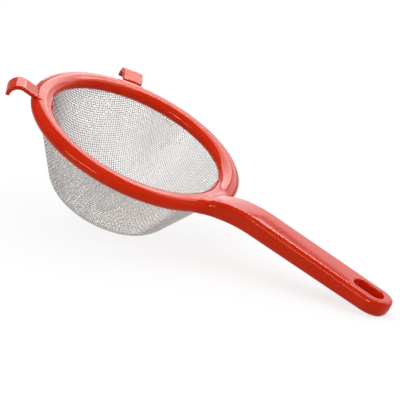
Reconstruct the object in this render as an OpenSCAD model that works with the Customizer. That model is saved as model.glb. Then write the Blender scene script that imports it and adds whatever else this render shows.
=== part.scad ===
// Hand-held strainer: a moulded rim with handle and rest hooks, and a pressed wire-mesh basket.
// The pieces are drawn about the rim's centre, with the handle along +X and the basket below,
// and then laid on the table on the edge of the basket and the tip of the handle.

/* [Rim] */
// Outside diameter of the rim
rim_d = 140; // [120:1:180]
// Width of the rim's section across the ring
rim_w = 13.6; // [12:0.1:16]
// Height of the rim's section
rim_h = 9.2; // [8.6:0.1:11]
// Rounding of the rim's inner and outer sides
rim_side_r = 3.4; // [2.8:0.1:3.8]
// Depth of the flat seat cut under the rim
seat_cut = 0.6; // [0.4:0.1:0.9]
// Parting gap between the rim and the handle and hooks that grow from it
parting_gap = 0.02; // [0.02:0.01:0.05]

/* [Mesh basket] */
// Depth of the basket below the rim's mid-plane
basket_depth = 51; // [40:1:60]
// Lean of the wall from the basket's axis
wall_lean = 30; // [20:1:34]
// Outer radius of the round corner at the bottom
corner_r = 18; // [12:1:22]
// Thickness of the woven mesh, two wires
mesh_t = 0.9; // [0.6:0.1:1.2]
// Height of the mesh's upright edge inside the rim
collar_h = 3.4; // [2.8:0.1:4]
// Width of the mesh's edge that is turned out inside the rim
hem_w = 2.2; // [1.6:0.1:2.6]

/* [Mesh openings] */
// Openings round the basket, which stand in for the weave
grid_cols = 24; // [16:2:28]
// Rows of openings up the wall
grid_rows = 4; // [3:1:5]
// Rows of openings round the corner at the bottom
corner_rows = 2; // [1:1:2]
// Openings across the flat bottom
floor_cols = 4; // [2:1:5]
// Width of the bands between the openings
grid_bar = 3; // [2:0.1:4]

/* [Clamp ring] */
// Gap round the ring in its groove
ring_gap = 0.1; // [0.05:0.05:0.2]

/* [Handle] */
// Reach of the handle beyond the rim
handle_reach = 123.4; // [95:0.1:160]
// Width of the grip
grip_w = 22; // [18:0.1:26]
// Thickness of the handle where it leaves the rim
neck_t = 12.2; // [10:0.1:14]
// Thickness of the handle at its tip
tip_t = 9.5; // [7.5:0.1:12]
// Slope of the neck at the middle of the rim
neck_rise = 30; // [22:0.5:36]
// Slope of the grip
grip_rise = 6.5; // [0:0.5:12]
// Radius of the arch between neck and grip
arch_r = 100; // [75:1:120]
// Height of the neck above the middle of the rim's crown
neck_lift = 0.3; // [0.2:0.1:1.2]
// Fillet in plan between the neck and the rim
root_fillet = 9; // [5:0.5:14]
// Rounding of the grip's upper edges
top_edge_r = 1.8; // [1:0.1:3]
// Rounding of the grip's lower edges
low_edge_r = 3; // [1.5:0.1:4]
// Height of the neck's lower face above the rim's seat
neck_clear = 0.3; // [0.2:0.1:0.6]

/* [Hanging slot] */
// Width of the hanging slot
slot_w = 9.6; // [6:0.1:11]
// Length of the hanging slot
slot_len = 19.5; // [12:0.5:30]

/* [Hooks] */
// Angle of each hook from the line opposite the handle
hook_angle = 43; // [30:1:60]
// Width of a hook
hook_w = 13.5; // [9:0.5:18]
// Thickness of a hook
hook_t = 2.5; // [1.8:0.1:3.2]
// Outer radius of the hook's bend
hook_r = 8; // [6.5:0.1:10]
// Reach of a hook beyond the rim
hook_reach = 15.6; // [13:0.1:20]
// Height of the hook's crest above the rim's mid-plane
hook_top = 7.2; // [6:0.1:9]
// Slope of the hook's strap
hook_slope = 15; // [8:1:22]
// Angle by which the hook's end turns in below the level
hook_turn = 8; // [0:1:20]

/* [Hidden] */

RED = [0.85, 0.13, 0.06];
STEEL = [0.74, 0.74, 0.72];
$fn = 96;
// Steps in the arcs of a profile
arc_steps = 16;
// Overlap of cutting and joining shapes
eps = 0.5;

// Rim: centre line, crown arc and seat
rim_r = (rim_d - rim_w) / 2;
rim_out = rim_d / 2;
half_w = rim_w / 2;
half_h = rim_h / 2;
crown_r = (pow(half_w - rim_side_r, 2) + pow(half_h, 2) - pow(rim_side_r, 2)) / (2 * (half_h - rim_side_r));
crown_drop = crown_r - half_h;
side_x = half_w - rim_side_r;
tangent_x = crown_r * side_x / (crown_r - rim_side_r);
side_end = atan2(crown_drop, side_x);
oval_steps = 8;
seat_z = -half_h + seat_cut;

// Mesh: the outer face passes the seat at the rim's centre line
collar_r = rim_r;
hem_z = seat_z + collar_h;
corner_z = -basket_depth + corner_r;
wall_k = collar_r * cos(wall_lean) - seat_z * sin(wall_lean);
flat_r = (wall_k - corner_r + corner_z * sin(wall_lean)) / cos(wall_lean);
foot_r = flat_r + corner_r * cos(wall_lean);
foot_z = corner_z - corner_r * sin(wall_lean);
wall_len = (seat_z - foot_z) / cos(wall_lean);
groove_in = collar_r - mesh_t;
groove_out = collar_r + hem_w;

// Openings: pitch on the wall, angles of openings and bands, and pitch on the flat bottom
row_pitch = wall_len / grid_rows;
col_turn = 360 / grid_cols;
bar_turn = grid_bar / ((foot_r + collar_r) / 2) * 180 / PI;
corner_turn = (90 - wall_lean) / corner_rows;
corner_bar_turn = grid_bar / corner_r * 180 / PI;
floor_pitch = sqrt(2) * (flat_r - grid_bar / 2) / floor_cols;

// Handle: arch centre, where the arch meets the straight grip, and the tip
arch_x = rim_r + arch_r * sin(neck_rise);
arch_z = half_h + neck_lift - arch_r * cos(neck_rise);
bend_x = arch_x - arch_r * sin(grip_rise);
bend_z = arch_z + arch_r * cos(grip_rise);
tip_x = rim_out + handle_reach;
tip_r = grip_w / 2;
root_x = rim_r - half_w / 2;
fillet_x = rim_out + root_fillet;
// Height of the edge to which the neck's section thins at the rim
root_edge = 0.6;
arch_steps = 16;
tip_steps = 9;
corner_steps = 6;

// Hook: centre of the bend, from the rim's axis and the mid-plane
hook_x = rim_out + hook_reach - hook_r;
hook_z = hook_top - hook_r;

// Rest on the table: the line below the basket's corner and the handle's tip
tip_cx = tip_x - low_edge_r;
tip_cz = low_z(tip_cx) + low_edge_r;
rest_dx = tip_cx - flat_r;
rest_dz = tip_cz - corner_z;
rest_tilt = atan2(rest_dz, rest_dx) + asin((corner_r - low_edge_r) / norm([rest_dx, rest_dz]));
rest_x = flat_r * cos(rest_tilt) + corner_z * sin(rest_tilt);
rest_z = corner_z * cos(rest_tilt) - flat_r * sin(rest_tilt) - corner_r;

// Height of the handle's upper face
function top_z(x) = x < bend_x
    ? arch_z + sqrt(pow(arch_r, 2) - pow(arch_x - x, 2))
    : bend_z + (x - bend_x) * tan(grip_rise);

// Thickness of the handle, which thins evenly towards the tip
function thickness(x) = neck_t + (tip_t - neck_t) * max(0, x - rim_out) / handle_reach;

// Height of the handle's lower face, which stays above the rim's seat
function low_z(x) = max(seat_z + neck_clear, top_z(x) - thickness(x));

// Half the handle's width in plan: fillet at the rim, even grip, round tip
function half_width(x) = x > tip_x - tip_r
    ? sqrt(max(0, pow(tip_r, 2) - pow(x - tip_x + tip_r, 2)))
    : tip_r + root_fillet - sqrt(pow(root_fillet, 2) - pow(min(max(0, fillet_x - x), 0.9 * root_fillet), 2));

// How far the handle has run into the rim, from 0 at the end of the fillet to 1 at the rim's outside
function root_share(x) =
    let (t = min(1, max(0, (fillet_x - x) / root_fillet)))
    t * t * (3 - 2 * t);

// Value between a on the grip and b at the rim
function blend(a, b, share) = a + (b - a) * share;

// Drop of a rounded edge of radius r at a distance d from its end
function edge_drop(d, r) = d < r ? r - sqrt(pow(r, 2) - pow(r - d, 2)) : 0;

// Cross-section of the handle at x, counter-clockwise seen from the tip. Towards the rim its corners
// grow until the section is a lens whose edges lie on the rim's mid-plane, bowed round the rim's axis.
function section(x) =
    let (
        d = tip_x - x,
        zt = top_z(x) - edge_drop(d, top_edge_r),
        zb = low_z(min(x, tip_cx)) + edge_drop(d, low_edge_r),
        w = half_width(x),
        q = root_share(x),
        top = [blend(min(top_edge_r, 0.9 * w), 0.8 * w, q), blend(top_edge_r, zt - root_edge / 2, q)],
        low = [blend(min(low_edge_r, 0.9 * w), 0.8 * w, q), blend(low_edge_r, -zb - root_edge / 2, q)]
    )
    [for (c = [[1, 1, 0], [-1, 1, 90], [-1, -1, 180], [1, -1, 270]])
        let (r = c[1] > 0 ? top : low, z = c[1] > 0 ? zt - top[1] : zb + low[1])
        for (i = [0 : corner_steps - 1])
            let (t = c[2] + 90 * i / (corner_steps - 1), y = c[0] * (w - r[0]) + r[0] * cos(t))
            [blend(x, sqrt(max(0, x * x - y * y)), q), y, z + r[1] * sin(t)]];

// Places of the cross-sections along the handle
stations = concat(
    [for (i = [0 : arch_steps]) root_x + (bend_x - root_x) * i / arch_steps],
    [for (i = [0 : tip_steps]) tip_x - tip_r + 0.995 * tip_r * sin(90 * i / tip_steps)]
);

function reverse(list) = [for (i = [len(list) - 1 : -1 : 0]) list[i]];

// Lays the part on the table, with the origin where the basket touches it
module laid() {
    translate([-rest_x, 0, -rest_z]) rotate([0, rest_tilt, 0]) children();
}

// Oval section of the rim, of two crown arcs and two side arcs that run into each other
module rim_oval() {
    intersection() {
        translate([0, -crown_drop]) circle(crown_r);
        translate([0, crown_drop]) circle(crown_r);
        square([2 * tangent_x, rim_h + eps], center = true);
    }
    for (side = [-1, 1]) translate([side * side_x, 0]) circle(rim_side_r);
}

// A quarter of the oval's outline, grown by a gap, from its side to its crown
function oval_quarter(gap) = concat(
    [for (i = [0 : oval_steps - 1])
        let (t = side_end * i / oval_steps)
        [side_x, 0] + (rim_side_r + gap) * [cos(t), sin(t)]],
    [for (i = [0 : oval_steps])
        let (t = side_end + (90 - side_end) * i / oval_steps)
        [0, -crown_drop] + (crown_r + gap) * [cos(t), sin(t)]]
);

// The rim's ring in flat steps, grown by a gap, which the handle and hooks are cut with
module rim_cutter(gap) {
    q = oval_quarter(gap);
    m = len(q) - 1;
    rotate_extrude() translate([rim_r, 0]) polygon(concat(
        [for (i = [0 : m - 1]) q[i]],
        [for (i = [m : -1 : 1]) [-q[i][0], q[i][1]]],
        [for (i = [0 : m - 1]) -q[i]],
        [for (i = [m : -1 : 1]) [q[i][0], -q[i][1]]]
    ));
}

module rim() {
    color(RED) laid() rotate_extrude() difference() {
        translate([rim_r, 0]) rim_oval();
        translate([rim_r - half_w, seat_z - rim_h]) square([rim_w, rim_h]);
        translate([groove_in, seat_z - eps]) square([mesh_t + hem_w, collar_h + eps]);
    }
}

// The handle as a loft through its cross-sections, with a strip of triangles across each end
module handle_loft() {
    n = 4 * corner_steps;
    last = (len(stations) - 1) * n;
    polyhedron(
        points = [for (x = stations) each section(x)],
        faces = concat(
            [for (j = [0 : n / 2 - 2])
                each [[j, j + 1, n - 2 - j], [j, n - 2 - j, n - 1 - j]]],
            [for (i = [0 : n : last - n], j = [0 : n - 1])
                let (a = i + j, b = i + (j + 1) % n)
                each [[a, a + n, b], [b, a + n, b + n]]],
            [for (j = [0 : n / 2 - 2])
                each [[last + j, last + n - 2 - j, last + j + 1], [last + j, last + n - 1 - j, last + n - 2 - j]]]
        )
    );
}

// Hanging slot, square to the grip's upper face
module hanging_slot() {
    end_x = tip_x - tip_r;
    translate([end_x, 0, top_z(end_x)]) rotate([0, -grip_rise, 0])
        translate([0, 0, -2 * neck_t]) linear_extrude(3 * neck_t) {
            circle(d = slot_w);
            translate([slot_w - slot_len, 0]) circle(d = slot_w);
            translate([slot_w - slot_len, -slot_w / 2]) square([slot_len - slot_w, slot_w]);
        }
}

module handle() {
    color(RED) laid() difference() {
        handle_loft();
        rim_cutter(parting_gap);
        hanging_slot();
    }
}

// Points of the hook's bend at radius r, from the strap round to the turned-in end
function hook_arc(r) =
    [for (i = [0 : arc_steps])
        let (t = 90 + hook_slope - (90 + hook_slope + hook_turn) * i / arc_steps)
        [hook_x, hook_z] + r * [cos(t), sin(t)]];

// Side view of a hook: a strap that rises from the rim and bends down
module hook_profile() {
    strap = (hook_x - rim_r) * [cos(hook_slope), sin(hook_slope)];
    outer = hook_arc(hook_r);
    inner = hook_arc(hook_r - hook_t);
    polygon(concat([outer[0] - strap], outer, reverse(inner), [inner[0] - strap]));
}

module hook(side) {
    color(RED) laid() difference() {
        rotate(180 - side * hook_angle) rotate([90, 0, 0])
            linear_extrude(hook_w, center = true) hook_profile();
        rim_cutter(parting_gap);
    }
}

module hook_left() { hook(-1); }

module hook_right() { hook(1); }

// Points of the round corner between wall and bottom, inset from the mesh's outer face
function corner_arc(inset) =
    [for (i = [0 : arc_steps])
        let (t = wall_lean + (90 - wall_lean) * i / arc_steps)
        [flat_r, corner_z] + (corner_r - inset) * [cos(t), -sin(t)]];

// Half section of the mesh: turned-out edge, collar, leaning wall, round corner and flat bottom
module mesh_profile() {
    wall_shift = mesh_t / cos(wall_lean) - mesh_t;
    polygon(concat(
        [[groove_out, hem_z], [groove_out, hem_z - mesh_t], [collar_r, hem_z - mesh_t], [collar_r, seat_z]],
        corner_arc(0),
        [[0, -basket_depth], [0, -basket_depth + mesh_t]],
        reverse(corner_arc(mesh_t)),
        [[groove_in, seat_z + wall_shift / tan(wall_lean)], [groove_in, hem_z]]
    ));
}

// Half sections of the openings: a row up the wall from its foot, and a row round the corner
module wall_opening(row) {
    translate([foot_r, foot_z]) rotate(90 - wall_lean)
        translate([row * row_pitch + grid_bar / 2, -2 * mesh_t])
            square([row_pitch - grid_bar, 4 * mesh_t]);
}

module corner_opening(row) {
    low = wall_lean + row * corner_turn + corner_bar_turn / 2;
    high = low + corner_turn - corner_bar_turn;
    near = corner_r - 4 * mesh_t;
    far = corner_r + 2 * mesh_t;
    translate([flat_r, corner_z]) polygon([
        near * [cos(low), -sin(low)],
        far * [cos(low), -sin(low)],
        far * [cos(high), -sin(high)],
        near * [cos(high), -sin(high)]
    ]);
}

// Openings round the basket, with a band on the line below the handle, on which the basket rests
module side_openings() {
    for (col = [0 : grid_cols - 1])
        rotate(col * col_turn + bar_turn / 2) rotate_extrude(angle = col_turn - bar_turn) {
            for (row = [0 : grid_rows - 1]) wall_opening(row);
            for (row = [0 : corner_rows - 1]) corner_opening(row);
        }
}

// Square openings in the flat bottom
module floor_openings() {
    side = floor_pitch - grid_bar;
    for (i = [0 : floor_cols - 1], j = [0 : floor_cols - 1])
        translate([(i + 0.5) * floor_pitch, (j + 0.5) * floor_pitch] - floor_cols * floor_pitch / 2 * [1, 1])
            translate([-side / 2, -side / 2, -basket_depth - mesh_t]) cube([side, side, 3 * mesh_t]);
}

module mesh_basket() {
    color(STEEL) laid() difference() {
        rotate_extrude() mesh_profile();
        side_openings();
        floor_openings();
    }
}

module clamp_ring() {
    color(RED) laid() rotate_extrude()
        translate([collar_r, seat_z]) square([hem_w - ring_gap, collar_h - mesh_t]);
}

rim();
handle();
hook_left();
hook_right();
mesh_basket();
clamp_ring();
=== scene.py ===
"""Hand strainer lying on a table: a frame moulded in one piece and a basket of woven wire.

Shapes are worked out in millimetres in the strainer's own frame: the middle of the rim is the
origin, the rim's axis is +Z and the handle runs along +X. RestPose lays the finished points on
the table and turns them into metres.
"""

import logging
import math
from collections.abc import Callable
from dataclasses import dataclass, field
from enum import Enum

import bmesh
import bpy
import numpy as np
from mathutils import Matrix, Vector

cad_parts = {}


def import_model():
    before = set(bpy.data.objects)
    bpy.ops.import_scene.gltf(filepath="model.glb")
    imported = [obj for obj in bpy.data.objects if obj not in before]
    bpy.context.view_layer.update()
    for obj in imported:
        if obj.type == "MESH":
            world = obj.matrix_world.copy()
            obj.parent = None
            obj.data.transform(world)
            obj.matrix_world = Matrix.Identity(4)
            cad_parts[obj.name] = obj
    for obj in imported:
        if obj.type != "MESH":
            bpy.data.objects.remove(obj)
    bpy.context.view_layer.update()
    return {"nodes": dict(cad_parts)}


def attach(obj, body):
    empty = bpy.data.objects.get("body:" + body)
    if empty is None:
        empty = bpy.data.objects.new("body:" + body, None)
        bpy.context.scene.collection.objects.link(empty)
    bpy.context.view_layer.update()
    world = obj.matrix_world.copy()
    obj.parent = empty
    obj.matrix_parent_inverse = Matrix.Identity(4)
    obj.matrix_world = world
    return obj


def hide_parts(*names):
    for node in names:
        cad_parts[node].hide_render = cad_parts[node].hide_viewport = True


LOG = logging.getLogger("strainer")
MM = 0.001
Points = np.ndarray
Distance = Callable[[Points], Points]
Colour = tuple[float, float, float]
Span = tuple[float, float]
Piece = bpy.types.Object
Material = bpy.types.Material
Socket = bpy.types.NodeSocket
WHITE = (1.0, 1.0, 1.0, 1.0)
UNIT = (0.0, 1.0)
# Name of the attribute that holds each wire's own tone.
TONE = "wire_tone"
# A divisor's least value, a wire's least rise, and the gap in metres at which two points are one.
TINY = 1e-9
LEVEL_RISE = 1e-6
WELD_GAP = 2e-6
# Passes that settle a fillet's skin, and how deep it dips past the fillet's middle.
FILLET_PASSES = 16
FILLET_DIP = 0.5
# The shared mottling: detail of its clouds and grain, roughness of the clouds, and the span they fill.
CLOUD_DETAIL = 3.0
CLOUD_ROUGHNESS = 0.55
CLOUD_SPAN = (0.3, 0.7)
GRAIN_DETAIL = 2.0


class HookSide(Enum):
    """Which of the two rest hooks, as seen by someone who holds the handle."""

    LEFT = -1
    RIGHT = 1


class WireRun(Enum):
    """Which of the two families of wires in the weave, and the side it takes at the first crossing."""

    WARP = 1
    WEFT = -1


class Slot(Enum):
    """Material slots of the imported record."""

    FRAME_PLASTIC = "frame_plastic"
    MESH_STEEL = "mesh_steel"


def circle(angle: Points) -> Points:
    """Points of the unit circle at the given angles."""
    return np.stack([np.cos(angle), np.sin(angle)], axis=-1)


def quarters(angle: Points) -> Points:
    """Angles of a quarter circle, repeated in each of the four quarters."""
    return angle + np.arange(4)[:, None] * math.pi / 2


def unit(vectors: Points) -> Points:
    """Vectors divided by their lengths."""
    return vectors / np.maximum(np.linalg.norm(vectors, axis=-1, keepdims=True), TINY)


def turn_z(angle: float) -> Points:
    """Matrix of a turn about +Z."""
    c, s = math.cos(angle), math.sin(angle)
    return np.array([[c, -s, 0.0], [s, c, 0.0], [0.0, 0.0, 1.0]])


def smooth_min(a: Points, b: Points, reach: float) -> Points:
    """Least of two distances, less a quarter of reach times their squared closeness, as a fillet has it."""
    closeness = np.maximum(reach - np.abs(a - b), 0.0) / reach
    return np.minimum(a, b) - closeness**2 * reach / 4


def edge_drop(distance: Points, radius: float) -> Points:
    """Drop of a quarter-round edge at a distance from its end: radius less the quarter circle's height."""
    short = np.clip(radius - distance, 0.0, radius)
    return radius - np.sqrt(radius**2 - short**2)


def grid_faces(rows: int, cols: int, wrap_rows: bool, wrap_cols: bool, flip: bool = False) -> np.ndarray:
    """Quads of a grid of points that is numbered row by row.

    Args:
        rows: Number of rows.
        cols: Number of points in a row.
        wrap_rows: Whether the last row joins the first.
        wrap_cols: Whether the end of a row joins its start.
        flip: Whether the faces turn the other way.

    Returns:
        One line of four point numbers for each quad.
    """
    i, j = np.meshgrid(
        np.arange(rows if wrap_rows else rows - 1),
        np.arange(cols if wrap_cols else cols - 1),
        indexing="ij",
    )
    up = (i + 1) % rows
    on = (j + 1) % cols
    quads = np.stack([i * cols + j, up * cols + j, up * cols + on, i * cols + on], axis=-1).reshape(-1, 4)
    return quads[:, ::-1] if flip else quads


def grid_normals(grid: Points) -> Points:
    """Unit normals of a grid whose rows are closed: the cross product of its steps across and along.

    Args:
        grid: Points as rows, columns and coordinates.

    Returns:
        Normals in the same layout.
    """
    along = np.gradient(grid, axis=0)
    across = np.roll(grid, -1, axis=1) - np.roll(grid, 1, axis=1)
    return unit(np.cross(across, along))


def swell(points: Points, normals: Points, own: Distance, other: Distance, reach: float) -> Points:
    """Moves a body's skin out to its smooth union with another body, so that a fillet joins them.

    Each point slides along its normal until the smooth least of both distances is nothing. Past the
    middle of the fillet the other body's skin takes over, and this one dips below it.

    Args:
        points: Points on the body's skin.
        normals: Outward normals there.
        own: Distance from the body.
        other: Distance from the body that it joins.
        reach: Reach of the fillet.

    Returns:
        The moved points.
    """
    lift = np.zeros(len(points))
    for _ in range(FILLET_PASSES):
        moved = points + lift[:, None] * normals
        lift = np.clip(lift - smooth_min(own(moved), other(moved), reach), 0.0, reach / 2)
    moved = points + lift[:, None] * normals
    past = np.maximum(own(moved) - other(moved), 0.0)
    lift = np.maximum(lift - FILLET_DIP * past**2 / reach, 0.0)
    return points + lift[:, None] * normals


@dataclass(frozen=True)
class RimShape:
    """The ring: an oval section of two crown arcs and two side arcs, a flat seat and a groove below."""

    outer_d: float = 140.0
    width: float = 13.6
    height: float = 9.2
    side_r: float = 3.4
    seat_cut: float = 0.6
    groove_in: float = 62.3
    groove_out: float = 65.4
    groove_h: float = 3.4
    soft_edge: float = 0.25

    @property
    def mid_r(self) -> float:
        """Radius of the ring's centre line."""
        return (self.outer_d - self.width) / 2

    @property
    def outer_r(self) -> float:
        """Outside radius of the ring."""
        return self.outer_d / 2

    @property
    def side_x(self) -> float:
        """Distance of the side arcs' centres from the centre line."""
        return self.width / 2 - self.side_r

    @property
    def crown_r(self) -> float:
        """Radius of the crown arcs, which run into the side arcs without an edge."""
        half = self.height / 2
        return (self.side_x**2 + half**2 - self.side_r**2) / (2 * (half - self.side_r))

    @property
    def crown_drop(self) -> float:
        """Distance of the crown arcs' centres from the mid-plane."""
        return self.crown_r - self.height / 2

    @property
    def seat_z(self) -> float:
        """Height of the flat seat."""
        return self.seat_cut - self.height / 2

    def distance(self, points: Points) -> Points:
        """Distance from the oval ring: to the crown arc above the joint of the arcs, else to the side arc.

        Args:
            points: Points as lines of x, y and z.

        Returns:
            Distances, negative inside the ring.
        """
        u = np.abs(np.hypot(points[:, 0], points[:, 1]) - self.mid_r)
        z = np.abs(points[:, 2])
        crown = np.hypot(u, z + self.crown_drop) - self.crown_r
        side = np.hypot(u - self.side_x, z) - self.side_r
        above = (z + self.crown_drop) * self.side_x > self.crown_drop * u
        return np.where(above, crown, side)

    def section(self, step: float) -> Points:
        """Outline of the ring's section, from the seat's outer end over the crown and through the groove.

        Args:
            step: Distance between points on the arcs.

        Returns:
            Points as lines of radius and height, counter-clockwise.
        """
        joint = math.atan2(self.crown_drop, self.side_x)
        seat_x = math.sqrt(self.crown_r**2 - (self.seat_z - self.crown_drop) ** 2)
        low = math.atan2(self.seat_z - self.crown_drop, seat_x)
        crown_steps = round(self.crown_r * (math.pi - 2 * joint) / step)
        side_steps = round(self.side_r * 2 * joint / step)
        low_steps = round(self.crown_r * (-joint - low) / step)
        t_low = np.linspace(low, -joint, low_steps, endpoint=False)
        t_side = np.linspace(-joint, joint, side_steps, endpoint=False)
        t_crown = np.linspace(joint, math.pi - joint, crown_steps, endpoint=False)
        t_end = np.linspace(math.pi + joint, math.pi - low, low_steps)
        drop = [0, self.crown_drop]
        right = circle(t_side) * self.side_r + [self.side_x, 0]
        oval = np.concatenate([
            circle(t_low) * self.crown_r + drop,
            right,
            circle(t_crown) * self.crown_r - drop,
            -right,
            circle(t_end) * self.crown_r + drop,
        ])
        return np.concatenate([oval + [self.mid_r, 0], self.groove()])

    def groove(self) -> Points:
        """Outline of the groove in the seat, each corner given as two points a soft edge apart.

        Returns:
            Points as lines of radius and height, from the inner wall to the outer one.
        """
        e = self.soft_edge
        low, high = self.seat_z, self.seat_z + self.groove_h
        inner = [[-e, low], [0.0, low + e], [0.0, high - e], [e, high]]
        outer = [[-x, z] for x, z in reversed(inner)]
        return np.concatenate([np.add(inner, [self.groove_in, 0.0]), np.add(outer, [self.groove_out, 0.0])])


@dataclass(frozen=True)
class BowlShape:
    """The basket: a flat bottom, a round corner and a leaning wall, given on the weave's middle surface."""

    depth: float = 51.0
    lean_deg: float = 30.0
    corner_r: float = 18.0
    sheet_t: float = 0.9
    mouth_r: float = 63.2
    mouth_z: float = -4.0

    @property
    def lean(self) -> float:
        """Lean of the wall from the axis, in radians."""
        return math.radians(self.lean_deg)

    @property
    def corner_z(self) -> float:
        """Height of the centre of the round corner."""
        return self.corner_r - self.depth

    @property
    def wall_k(self) -> float:
        """Distance of the wall's outer face from the origin, along the wall's normal."""
        return self.mouth_r * math.cos(self.lean) - self.mouth_z * math.sin(self.lean)

    @property
    def flat_r(self) -> float:
        """Radius of the flat bottom."""
        return (self.wall_k - self.corner_r + self.corner_z * math.sin(self.lean)) / math.cos(self.lean)

    @property
    def bend_r(self) -> float:
        """Radius of the round corner on the middle surface."""
        return self.corner_r - self.sheet_t / 2

    def meridian(self, run: Points) -> Points:
        """Points on a meridian of the middle surface: bottom, then corner, then wall.

        Args:
            run: Distances along the meridian from the middle of the bottom.

        Returns:
            Points as lines of radius and height.
        """
        turn = np.clip((run - self.flat_r) / self.bend_r, 0.0, math.pi / 2 - self.lean)
        wall = np.maximum(run - self.flat_r - self.bend_r * (math.pi / 2 - self.lean), 0.0)
        radius = np.minimum(run, self.flat_r) + self.bend_r * np.sin(turn) + wall * math.sin(self.lean)
        height = self.corner_z - self.bend_r * np.cos(turn) + wall * math.cos(self.lean)
        return np.stack([radius, height], axis=-1)

    def height_above(self, points: Points) -> tuple[Points, Points]:
        """Distance from the middle surface and its outward normal.

        Args:
            points: Points as lines of x, y and z.

        Returns:
            Distances, positive outside the bowl, and unit normals.
        """
        r = np.hypot(points[:, 0], points[:, 1])
        u = r - self.flat_r
        v = points[:, 2] - self.corner_z
        slant = np.arctan2(-v, np.maximum(u, TINY))
        turn = np.clip(slant, self.lean, math.pi / 2)
        wall = u * math.cos(self.lean) - v * math.sin(self.lean)
        distance = np.where(u < 0, -v, np.where(slant < self.lean, wall, np.hypot(u, v)))
        outward = points[:, :2] / np.maximum(r, TINY)[:, None]
        side = np.where(u < 0, 0.0, np.cos(turn))
        down = np.where(u < 0, 1.0, np.sin(turn))
        normals = np.concatenate([outward * side[:, None], -down[:, None]], axis=1)
        return distance - self.bend_r, normals


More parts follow.
